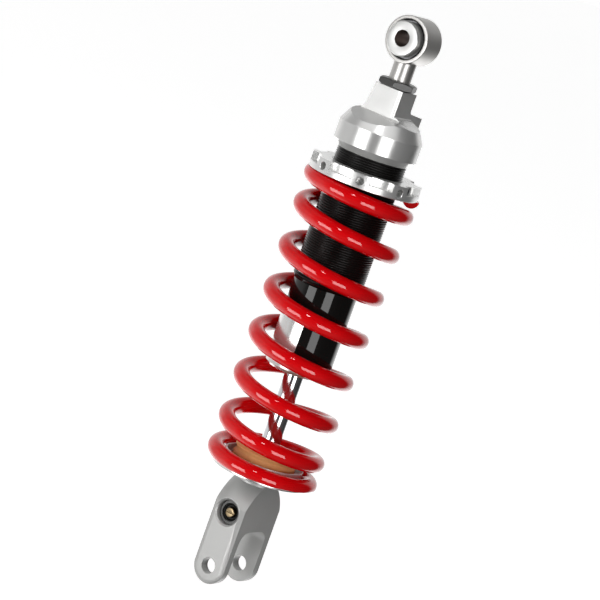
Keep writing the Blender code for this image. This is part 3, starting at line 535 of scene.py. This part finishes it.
def build_cap(looks):
    """Top cap: milled tower, ramps, shoulder, gas boss and skirt."""
    bottom, top = heights("top_cap")
    radius = outer_radius("top_cap")
    flat_bottom, tower_base, shoulder = top - 17.5, top - 13.1, top - 18.4
    rim_top, rim_bottom = bottom + 16.2, bottom + 4.4
    front_flat, side_flat, boss_top = 8.8, 10.1, bottom + 31.7
    ledge, ledge_width = top - 16.2, 1.7
    tower, tower_top, shoulder_radius = 14.9, 13.4, 21.4
    socket = outer_radius("body_tube") + CLEARANCE
    ceiling = heights("body_tube")[1] + CLEARANCE
    outline = [(0.0, rim_bottom + 0.6, 0), (TUBE_SPIGOT, rim_bottom + 0.6), (TUBE_SPIGOT, ceiling),
               (socket, ceiling), (socket, bottom, 0.3), (socket + 0.6, bottom, 0.3),
               (radius, rim_bottom, 0.4), (radius, rim_top, 0.5), (shoulder_radius + 1.1, shoulder - 1.5, 1.2),
               (shoulder_radius - 1.0, shoulder, 1.0), (shoulder_radius - 3.4, flat_bottom, 0)]
    fillet = tower_base - flat_bottom
    outline = soften(outline, 0.25) + arc((tower + fillet, tower_base), fillet, 262, 180, 10)
    outline += [(tower_top, top), (tower_top - 0.3, top), (0.0, top)]
    cap = lathe("top_cap_body", outline, 180)

    spread = degrees(asin(side_flat / radius))
    boss = [(-side_flat, front_flat - 1), (side_flat, front_flat - 1)]
    boss += arc((0.0, 0.0), radius - 0.05, 90 - spread, 90 + spread, 24)
    carve(cap, prism("boss", boss, rim_top + 2, boss_top + 1), "UNION")
    far = 40.0                                   # well outside the cap
    front_slope, side_slope, rear_slope = 0.39, 0.40, 0.105
    front = [(-front_flat, top + 2), (-far, top + 2),
             (-far, flat_bottom - (far - front_flat) * front_slope), (-front_flat, flat_bottom)]
    carve(cap, prism("front_cut", front, -far, far, "X"))
    step, curve = side_flat + ledge_width, 0.8
    side = [(side_flat, top + 2), (far, top + 2), (far, ledge - (far - step) * side_slope), (step, ledge)]
    side += arc((side_flat + curve, ledge + curve), curve, 270, 180, 5)
    carve(cap, prism("side_cut", side, -far, far, "Y"))
    curve = 2.0
    rear = [(front_flat, top + 2), (far, top + 2), (far, boss_top - (far - front_flat) * rear_slope)]
    rear += arc((front_flat + curve, boss_top - curve * rear_slope + curve), curve, 264, 180, 8)
    carve(cap, prism("rear_cut", rear, -far, far, "X"))
    corner = 2.2
    waste = arc((side_flat - corner, -front_flat + corner), corner, -90, 0, 10)
    waste += [(side_flat + 1, -front_flat + corner), (side_flat + 1, -front_flat - 1),
              (side_flat - corner, -front_flat - 1)]
    carve(cap, prism("corner_cut", waste, ledge + 0.1, top + 1))
    carve(cap, prism("shank_hole", disc(SHANK_HOLE, 96), flat_bottom, top + 1))
    plug_low, plug_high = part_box("gas_plug")
    offset = (plug_low.y + plug_high.y) / 2 / MM
    hole = [(x, y + offset) for x, y in disc(3.7, 48)]
    carve(cap, prism("gas_hole", hole, heights("gas_plug")[0] - CLEARANCE, boss_top + 1))
    break_edges(cap, 0.35)
    dress(cap, looks["cap"], "damper", ["top_cap"], "satin_aluminium")


def build_tube(looks):
    """Threaded upper tube and smooth lower tube. The thread is a real helix."""
    low, high = heights("body_tube")
    crest = outer_radius("body_tube")
    bore, plain = 18.5, 20.8
    step_top, step_bottom = low + 49.6, low + 48.0
    pitch, depth, rows, steps = 1.5, 0.72, 6, 128
    bm = bmesh.new()
    count = int((high - step_top - 1.0) / pitch * rows)
    rings = []
    for row in range(count + 1):
        height = step_top + 0.6 + pitch * row / rows
        ring = []
        for step in range(steps):
            angle = 2 * pi * step / steps
            phase = (row / rows - step / steps) % 1.0
            groove = max(0.0, 1.0 - abs(phase - 0.5) * 2 / 0.8)
            radius = crest - depth * groove
            ring.append(bm.verts.new((radius * cos(angle), radius * sin(angle), height)))
        rings.append(ring)
    lower = ring_of_verts(bm, plain, step_bottom, steps)
    inner_low = ring_of_verts(bm, bore, step_bottom, steps)
    inner_high = ring_of_verts(bm, bore, high - 0.2, steps)
    loops = [inner_low, lower] + rings + [inner_high]
    for index, ring in enumerate(loops):
        bridge(bm, ring, loops[(index + 1) % len(loops)])
    thread = to_frame(bm, "tube_thread", smooth=60.0)
    dress(thread, looks["thread"], "damper", ["body_tube"], "black_anodised")
    plain_top = step_bottom - 0.02
    outline = soften([(bore, low), (plain, low, 0.3), (plain, plain_top, 0), (bore, plain_top, 0)], 0.2)
    dress(lathe("tube_plain", outline, 160), looks["tube"], "damper", ["body_tube"], "black_anodised")

    # blank foil label that wraps round the left of the plain tube
    start, sweep, inside, outside = -73.0, -95.0, plain + 0.02, plain + 0.11
    bottom, top, bend = low + 2.0, low + 28.5, 40
    bm = bmesh.new()
    layers = []
    for radius in (inside, outside):
        grid = []
        for column in range(bend + 1):
            angle = radians(start + sweep * column / bend)
            x, y = radius * cos(angle), radius * sin(angle)
            grid.append([bm.verts.new((x, y, height)) for height in (bottom, top)])
        layers.append(grid)
    low_in, high_in = zip(*layers[0])
    low_out, high_out = zip(*layers[1])
    for first, second in ((low_in, high_in), (low_out, high_out), (low_in, low_out), (high_in, high_out)):
        bridge(bm, first, second, closed=False)
    for column in (0, bend):
        bm.faces.new((low_in[column], high_in[column], high_out[column], low_out[column]))
    dress(to_frame(bm, "blank_label"), looks["label"], "damper", (), "satin_aluminium")


def build_gland(looks):
    """Gland below the tube, with its wiper lip."""
    bottom, top = heights("gland_cap")
    radius = outer_radius("gland_cap")
    waist = heights("body_tube")[0] - CLEARANCE
    groove = radius - 0.7
    outline = [(8.2, bottom + 1.0), (8.2, bottom, 0.4), (radius - 2.0, bottom, 0.3),
               (radius, bottom + 1.8, 0.5), (radius, waist - 2.6, 0.15), (groove, waist - 2.2, 0.1),
               (groove, waist - 1.2, 0.1), (radius, waist - 0.8, 0.15), (radius, waist),
               (TUBE_SPIGOT, waist, 0), (TUBE_SPIGOT, top, 0), (11.0, top, 0), (11.0, bottom + 1.0, 0)]
    dress(lathe("gland_body", soften(outline, 0.2), 160), looks["cap"], "damper", ["gland_cap"],
          "satin_aluminium")
    wiper_high = heights("rod_wiper")[1]
    lip = [(6.5, bottom + 0.9, 0.1), (7.9, bottom + 0.3, 0.2), (8.1, bottom + 1.4, 0),
           (10.7, bottom + 1.4, 0), (10.7, wiper_high, 0), (ROD_HOLE, wiper_high, 0)]
    dress(lathe("rod_wiper_lip", soften(lip, 0.2), 96), looks["rubber"], "damper", ["rod_wiper"],
          "black_rubber")


def build_ring(looks):
    """Castellated preload ring with its tommy holes, the hole of its lock screw and the washer's seat."""
    bottom, top = heights("preload_ring")
    radius = 35.4
    recess, bore, flange, hole_height = 31.5, 22.7, bottom + 4.0, bottom + 4.5
    lands, half, first = 8, 9.5, -63.4
    section = soften([(bore, bottom, 0.3), (radius, bottom, 0.5), (radius, flange, 0.4),
                      (bore, flange, 0)], 0.3)
    ring = lathe("preload_ring_body", section, 192)
    outline = []
    for index in range(lands):
        middle = first + index * 360.0 / lands
        outline += arc((0.0, 0.0), radius - 0.02, middle - half, middle + half, 8)
        outline += arc((0.0, 0.0), recess, middle + half + 1.6, middle + 360.0 / lands - half - 1.6, 12)
    carve(ring, prism("crown", outline, flange - 0.8, top), "UNION")
    carve(ring, lathe("crown_bore", drill_outline(bore, bottom, top, 0.9), 160))
    seat = outer_radius("thrust_washer") + CLEARANCE
    seat_top = heights("thrust_washer")[1] + CLEARANCE
    carve(ring, prism("washer_seat", disc(seat, 160), bottom - 1, seat_top))
    hole, floor = 2.4, radius - 9.0
    tommy = [(0.0, floor), (hole, floor), (hole, radius - 0.4), (hole + 0.3, radius),
             (hole + 1, radius + 1), (0.0, radius + 1)]
    for index in range(lands):
        angle = first + index * 360.0 / lands
        carve(ring, lathe("tommy_hole", tommy, 40, angle, hole_height))
    hole, lock_angle = 2.5, 4.1
    lock = [(0.0, 20.0), (hole, 20.0), (hole, radius + 1), (0.0, radius + 1)]
    carve(ring, lathe("lock_hole", lock, 40, lock_angle, sum(heights("ring_lock_screw")) / 2))
    break_edges(ring, 0.3)
    dress(ring, looks["ring"], "preload_nut", ["preload_ring"], "satin_aluminium")


def spring_height(turn, low, high, turns):
    """Height of the wire's centre after some turns from the top tip: closed ends, even pitch between."""
    top, bottom = high + 0.3, low - 0.3
    top_ramp, bottom_ramp, power = 1.67, 1.87, 1.7
    pitch = (top - bottom) / (turns - (1 - 1 / power) * (top_ramp + bottom_ramp))
    left = turns - turn
    if turn < top_ramp:
        return top - pitch * top_ramp / power * (max(turn, 0.0) / top_ramp) ** power
    if left < bottom_ramp:
        return bottom + pitch * bottom_ramp / power * (max(left, 0.0) / bottom_ramp) ** power
    return top - pitch * (turn - top_ramp * (1 - 1 / power))


def build_spring(looks):
    """Coil spring in two pieces that meet at one section. ease is the stretch of turns over which a piece's
    weight goes from 0 to 1; the weights and the pair of bodies are not used."""
    low, high = heights("coil_spring")
    turns, first_angle, step = 8.25, 29.6, 0.01
    wire, sides, per_turn, share = 5.3, 36, 96, 2.25
    coil = outer_radius("coil_spring") - wire - 0.06
    for name, start, end, pair, ease in (
            ("spring_upper", 0.0, share, ("preload_washer", "damper"), (0.72, share)),
            ("spring_main", share, turns, ("damper", "rod_assembly"), (share, turns - 0.9))):
        bm = bmesh.new()
        count = round((end - start) * per_turn)
        rings, weights = [], []
        for index in range(count + 1):
            turn = start + (end - start) * index / count
            angle = radians(first_angle) + 2 * pi * turn
            rise = (spring_height(turn + step, low, high, turns)
                    - spring_height(turn - step, low, high, turns)) / (4 * pi * step * coil)
            outward = Vector((cos(angle), sin(angle), 0.0))
            forward = Vector((-sin(angle), cos(angle), rise)).normalized()
            upward = outward.cross(forward)
            centre = outward * coil + Vector((0.0, 0.0, spring_height(turn, low, high, turns)))
            ring = []
            for side in range(sides):
                lean = 2 * pi * side / sides
                point = centre + (outward * cos(lean) + upward * sin(lean)) * wire
                point.z = min(max(point.z, low), high)
                ring.append(bm.verts.new(point))
            rings.append(ring)
            weight = min(1.0, max(0.0, (turn - ease[0]) / (ease[1] - ease[0])))
            weights += [weight] * sides
        for ring, following in zip(rings, rings[1:]):
            bridge(bm, ring, following)
        bm.faces.new(rings[0])
        bm.faces.new(list(reversed(rings[-1])))
        bmesh.ops.recalc_face_normals(bm, faces=bm.faces)
        piece = to_object(bm, name, smooth=45.0)
        piece.data.materials.append(looks["red"])
        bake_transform(piece)
        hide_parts("coil_spring")


def build_rod(looks):
    """Chromed piston rod."""
    low, high = heights("piston_rod")
    radius, bore, spigot, shoulder = outer_radius("piston_rod"), 2.6, 5.0, high - 26.7
    outline = soften([(bore, low), (radius, low), (radius, shoulder, 0.5), (spigot, shoulder, 0),
                      (spigot, high), (bore, high)], 0.4)
    dress(lathe("chromed_rod", outline, 128), looks["chrome"], "rod_assembly", ["piston_rod"],
          "hard_chrome")


def build_seat(looks):
    """Lower spring seat with its cup, and the bump stop."""
    bottom, top = heights("lower_spring_seat")
    radius = outer_radius("lower_spring_seat")
    hub, cup, cup_bore, rod = 21.6, 25.8, 24.4, ROD_HOLE
    flange_low, flange_high, floor = bottom + 2.8, bottom + 4.8, bottom + 6.4
    outline = [(rod, bottom, 0.3), (hub, bottom, 0.5), (hub, flange_low, 0.4), (radius, flange_low, 0.5),
               (radius, flange_high, 0.4), (cup, flange_high, 0.5), (cup, top, 0.5), (cup_bore, top, 0.4),
               (cup_bore, floor, 0.6), (rod, floor, 0.2)]
    dress(lathe("seat_body", soften(outline, 0.3, 4), 192), looks["ring"], "rod_assembly",
          ["lower_spring_seat"], "satin_aluminium")
    low, high = heights("bump_stop")
    radius = outer_radius("bump_stop")
    stop = [(rod, low, 0), (radius - 0.6, low, 0.6), (radius, low + 3.0, 2.0), (radius, low + 5.5, 1.2),
            (radius - 1.8, low + 8.0, 1.2), (radius, low + 10.4, 1.2), (radius - 0.5, high - 5.0, 2.5),
            (radius - 7.5, high - 0.8, 2.5), (rod + 2.0, high, 0.8), (rod, high - 2.0, 0.8)]
    dress(lathe("bump_stop_body", soften(stop, 0.5, 5), 144), looks["tan"], "rod_assembly", ["bump_stop"],
          "tan_elastomer")


def build_clevis(looks):
    """Forked clevis: domed block, milled slot, bolt holes, adjuster bore."""
    top = heights("clevis")[1]
    half_width = CLEVIS_HIGH.y / MM
    bevel_x, bevel_y = 3.05, 1.6
    flat = half_width - bevel_y                  # the sides are square between -flat and flat
    bm = bmesh.new()
    sections = []
    for along, inset in ((-half_width, bevel_x), (-flat, 0.0), (flat, 0.0), (half_width, bevel_x)):
        radius = EAR_RADIUS - inset
        outline = [(-radius, top + 4.0)] + arc((0.0, 0.0), radius, 180, 360, 64) + [(radius, top + 4.0)]
        sections.append([bm.verts.new((x, along, z)) for x, z in outline])
    for first, second in zip(sections, sections[1:]):
        bridge(bm, first, second)
    bm.faces.new(sections[0])
    bm.faces.new(list(reversed(sections[-1])))
    clevis = to_frame(bm, "clevis_body")
    below, wide, neck, dome_low, dome_high, steps = -20.0, 25.0, 14.0, 30.0, 57.0, 16
    dome = [(0.0, below), (30.0, below), (30.0, dome_low - 2.0)]
    dome += [(wide - (wide - neck) * (i / steps) ** 2, dome_low + (dome_high - dome_low) * i / steps)
             for i in range(steps + 1)]
    dome += [(neck, top), (0.0, top)]
    carve(clevis, lathe("dome", dome, 160, smooth=60.0), "INTERSECT")
    half, roof, corner = 14.5, 27.0, 8.0
    slot = [(-half, below), (half, below)] + arc((half - corner, roof - corner), corner, 0, 90, 20)
    slot += arc((-half + corner, roof - corner), corner, 90, 180, 20)
    carve(clevis, prism("slot", slot, -20.0, 20.0, "X"))
    carve(clevis, lathe("drill", drill_outline(BOLT_HOLE, -half_width, half_width, 0.2), 96, "Y"))
    adjuster = sum(heights("adjuster_drum")) / 2
    bore, chamfer = 8.0, 1.0
    pocket = [(0.0, -5.0), (bore, -5.0), (bore, -half_width + chamfer), (bore + chamfer, -half_width),
              (bore + chamfer + 1, -half_width - 1), (0.0, -half_width - 1)]
    carve(clevis, lathe("pocket", pocket, 128, "Y", adjuster))
    needle, floor = 2.9, heights("piston_rod")[0] - CLEARANCE
    socket = [(0.0, adjuster + 1), (needle, adjuster + 1), (needle, floor), (ROD_HOLE, floor),
              (ROD_HOLE, top + 1), (0.0, top + 1)]
    carve(clevis, lathe("socket", socket, 64))
    break_edges(clevis, 0.35)
    dress(clevis, looks["satin"], "rod_assembly", ["clevis"], "satin_aluminium")


def build_adjuster(looks):
    """Rebound adjuster in the clevis: black drum and slotted brass screw."""
    height = sum(heights("adjuster_drum")) / 2
    low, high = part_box("adjuster_drum")
    face, back, radius = low.y / MM, high.y / MM, high.x / MM
    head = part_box("adjuster_screw")[0].y / MM
    screw, groove = outer_radius("adjuster_screw"), 0.95
    hole = screw + CLEARANCE
    drum = [(0.0, back, 0), (radius, back, 0), (radius, face, 0.5), (5.2, face, 0.3),
            (4.6, face + 0.7, 0.3), (hole, face + 0.7, 0.2), (hole, face + 4.0, 0), (0.0, face + 4.0, 0)]
    dress(lathe("drum_body", soften(drum, 0.3), 96, "Y", height), looks["drum"], "rebound_adjuster",
          ["adjuster_drum"], "black_anodised")
    root = face + 3.7
    outline = soften([(0.0, root, 0), (screw, root, 0), (screw, head, 0.6), (0.0, head, 0)], 0.3)
    head_piece = lathe("screw_body", outline, 72, "Y", height)
    slot = [(head - 1, -groove / 2), (head + 1.4, -groove / 2), (head + 1.4, groove / 2),
            (head - 1, groove / 2)]
    carve(head_piece, prism("screw_slot", slot, -5, 5, "X", height))
    break_edges(head_piece, 0.12)
    dress(head_piece, looks["brass"], "rebound_adjuster", ["adjuster_screw"], "brass")


def dress_cad_nodes(looks):
    """Procedural finishes for the CAD nodes that stay as they are."""
    by_slot = {"satin_aluminium": "cap", "polished_aluminium": "spacer", "bright_steel": "steel",
               "hard_chrome": "chrome", "black_anodised": "nut", "red_powder_coat": "red",
               "black_rubber": "rubber", "tan_elastomer": "tan", "bronze": "bronze", "brass": "brass"}
    for part in frame["record"]["subparts"]:
        node = frame["nodes"][part["node"]]
        node.data.materials.clear()
        node.data.materials.append(looks[by_slot[part["material_slot"]]])


# --------------------------------------------------------------------------- studio


def set_camera():
    """The camera of the photograph's view."""
    azimuth, elevation, roll = (radians(a) for a in (VIEW_AZIMUTH, VIEW_ELEVATION, VIEW_ROLL))
    back = Vector((sin(azimuth) * cos(elevation), -cos(azimuth) * cos(elevation), sin(elevation)))
    level = Vector((cos(azimuth), sin(azimuth), 0.0))
    above = back.cross(level)
    right = level * cos(roll) + above * sin(roll)
    up = above * cos(roll) - level * sin(roll)
    aim = level * AIM_SIDEWAYS * MM + Vector((0.0, 0.0, BOLT_Z + AIM_HEIGHT * MM))
    camera = bpy.data.objects.new("camera", bpy.data.cameras.new("camera"))
    camera.data.lens = LENS
    camera.data.sensor_width = 36.0
    camera.data.clip_start = 0.05
    camera.data.clip_end = 50.0
    turn = Matrix((right, up, back)).transposed().to_4x4()
    camera.matrix_world = Matrix.Translation(aim + back * VIEW_DISTANCE * MM) @ turn
    bpy.context.scene.collection.objects.link(camera)
    bpy.context.scene.camera = camera


def softbox(name, turn, elevation, width, height, radiance, shape="RECTANGLE", mirrored=True):
    """Area light seen from the object at an azimuth from the camera's, with angular sizes in degrees.
    A light that is not mirrored only adds to the diffuse light."""
    distance = 2.6
    azimuth = radians(VIEW_AZIMUTH + turn)
    tilt = radians(elevation)
    towards = Vector((sin(azimuth) * cos(tilt), -cos(azimuth) * cos(tilt), sin(tilt)))
    data = bpy.data.lights.new(name, "AREA")
    data.shape = shape
    data.size = 2 * distance * tan(radians(width / 2))
    data.size_y = 2 * distance * tan(radians(height / 2))
    area = data.size * data.size_y * (pi / 4 if shape == "ELLIPSE" else 1.0)
    data.energy = radiance * pi * area
    lamp = bpy.data.objects.new(name, data)
    lamp.location = towards * distance + Vector((0.0, 0.0, BOLT_Z + AIM_HEIGHT * MM))
    lamp.rotation_euler = towards.to_track_quat("Z", "Y").to_euler()
    lamp.visible_glossy = mirrored
    bpy.context.scene.collection.objects.link(lamp)
    return lamp


def set_world():
    """Plain white backdrop for the camera. The room that lights the object and shows in the metal is white
    behind the object, dim round the camera and darkest to its right, brighter below, dimmer overhead."""
    world = bpy.data.worlds.new("studio")
    bpy.context.scene.world = world
    world.use_nodes = True
    tree = world.node_tree
    tree.nodes.clear()
    new, link = tree.nodes.new, tree.links.new
    place = new("ShaderNodeTexCoord")
    parts = new("ShaderNodeSeparateXYZ")
    turned = new("ShaderNodeVectorRotate")
    turned.rotation_type = "Z_AXIS"
    turned.inputs["Angle"].default_value = -radians(VIEW_AZIMUTH)
    link(place.outputs["Generated"], turned.inputs["Vector"])
    link(turned.outputs["Vector"], parts.inputs["Vector"])

    def math(operation, first, second=None):
        made = new("ShaderNodeMath")
        made.operation = operation
        for index, value in enumerate((first, second)):
            if value is None:
                continue
            if isinstance(value, bpy.types.NodeSocket):
                link(value, made.inputs[index])
            else:
                made.inputs[index].default_value = value
        return made.outputs[0]

    bearing = math("ARCTAN2", parts.outputs["X"], math("MULTIPLY", parts.outputs["Y"], -1.0))
    around = math("ADD", math("DIVIDE", bearing, 2 * pi), 0.5)
    ramp = new("ShaderNodeValToRGB")
    link(around, ramp.inputs["Fac"])
    # degrees round the object from the camera's side, positive to the right, and the room's light there
    stops = [(-180, 1.0), (-132, 1.0), (-122, 0.65), (-80, 0.60), (-66, 0.28), (-20, 0.07), (5, 0.07),
             (45, 0.08), (66, 0.05), (124, 0.03), (139, 1.0), (180, 1.0)]
    elements = ramp.color_ramp.elements
    while len(elements) > 1:
        elements.remove(elements[-1])
    for index, (angle, value) in enumerate(stops):
        element = elements[0] if index == 0 else elements.new(angle / 360.0 + 0.5)
        element.position = angle / 360.0 + 0.5
        element.color = (value, value, value, 1.0)
    rise = new("ShaderNodeValToRGB")
    link(math("ADD", math("MULTIPLY", parts.outputs["Z"], 0.5), 0.5), rise.inputs["Fac"])
    levels = rise.color_ramp.elements
    levels[0].position, levels[1].position = 0.25, 0.47
    for position in (0.62, 0.80, 0.97):
        levels.new(position)
    for element, value in zip(levels, (2.2, 1.0, 1.0, 0.42, 0.35)):       # from below up to overhead
        element.color = (value, value, value, 1.0)
    sockets, product = colour_mix(tree, "MULTIPLY")
    sockets["Factor_Float"].default_value = 1.0
    link(ramp.outputs["Color"], sockets["A_Color"])
    link(rise.outputs["Color"], sockets["B_Color"])
    room = new("ShaderNodeBackground")
    link(product, room.inputs["Color"])
    backdrop = new("ShaderNodeBackground")
    backdrop.inputs["Color"].default_value = (1.0, 1.0, 1.0, 1.0)
    chooser = new("ShaderNodeMixShader")
    ray = new("ShaderNodeLightPath")
    link(ray.outputs["Is Camera Ray"], chooser.inputs["Fac"])
    link(room.outputs["Background"], chooser.inputs[1])
    link(backdrop.outputs["Background"], chooser.inputs[2])
    output = new("ShaderNodeOutputWorld")
    link(chooser.outputs["Shader"], output.inputs["Surface"])


def set_floor():
    """Pale floor under the hanging object, bright enough to join the backdrop."""
    look = Look("look_floor", (0.9, 0.9, 0.9), 0.8, 0.0, Emission_Color=(1.0, 1.0, 1.0, 1.0),
                Emission_Strength=0.75)
    look.tint(look.noise(3.0), 0.985, 1.0)
    mesh = bpy.data.meshes.new("floor")
    size, depth = 12.0, CLEVIS_LOW.z - 0.03
    corners = [(-size, -size, depth), (size, -size, depth), (size, size, depth), (-size, size, depth)]
    mesh.from_pydata(corners, [], [(0, 1, 2, 3)])
    floor = bpy.data.objects.new("floor", mesh)
    mesh.materials.append(look.material)
    bpy.context.scene.collection.objects.link(floor)
    floor.visible_glossy = False
    floor.visible_diffuse = False


def set_studio():
    """Camera, surroundings, two softboxes, a small round lamp, two overhead fills and the floor."""
    set_camera()
    set_world()
    softbox("left_softbox", -42.0, -6.0, 30.0, 32.0, 5.2)
    softbox("right_softbox", 23.0, -6.0, 28.0, 32.0, 5.2)
    softbox("round_lamp", -7.0, 50.0, 7.0, 7.0, 22.0, shape="ELLIPSE")
    softbox("fill", 4.0, 40.0, 70.0, 50.0, 0.50, mirrored=False)
    glow = softbox("metal_glow", -8.0, 46.0, 136.0, 44.0, 1.05)
    glow.light_linking.receiver_collection = METALS
    set_floor()
    bpy.context.scene.view_settings.view_transform = "Standard"


looks = make_looks()
dress_cad_nodes(looks)
set_studio()
build_eye(looks)
build_nut(looks)
build_cap(looks)
build_tube(looks)
build_gland(looks)
build_ring(looks)
build_spring(looks)
build_rod(looks)
build_seat(looks)
build_clevis(looks)
build_adjuster(looks)
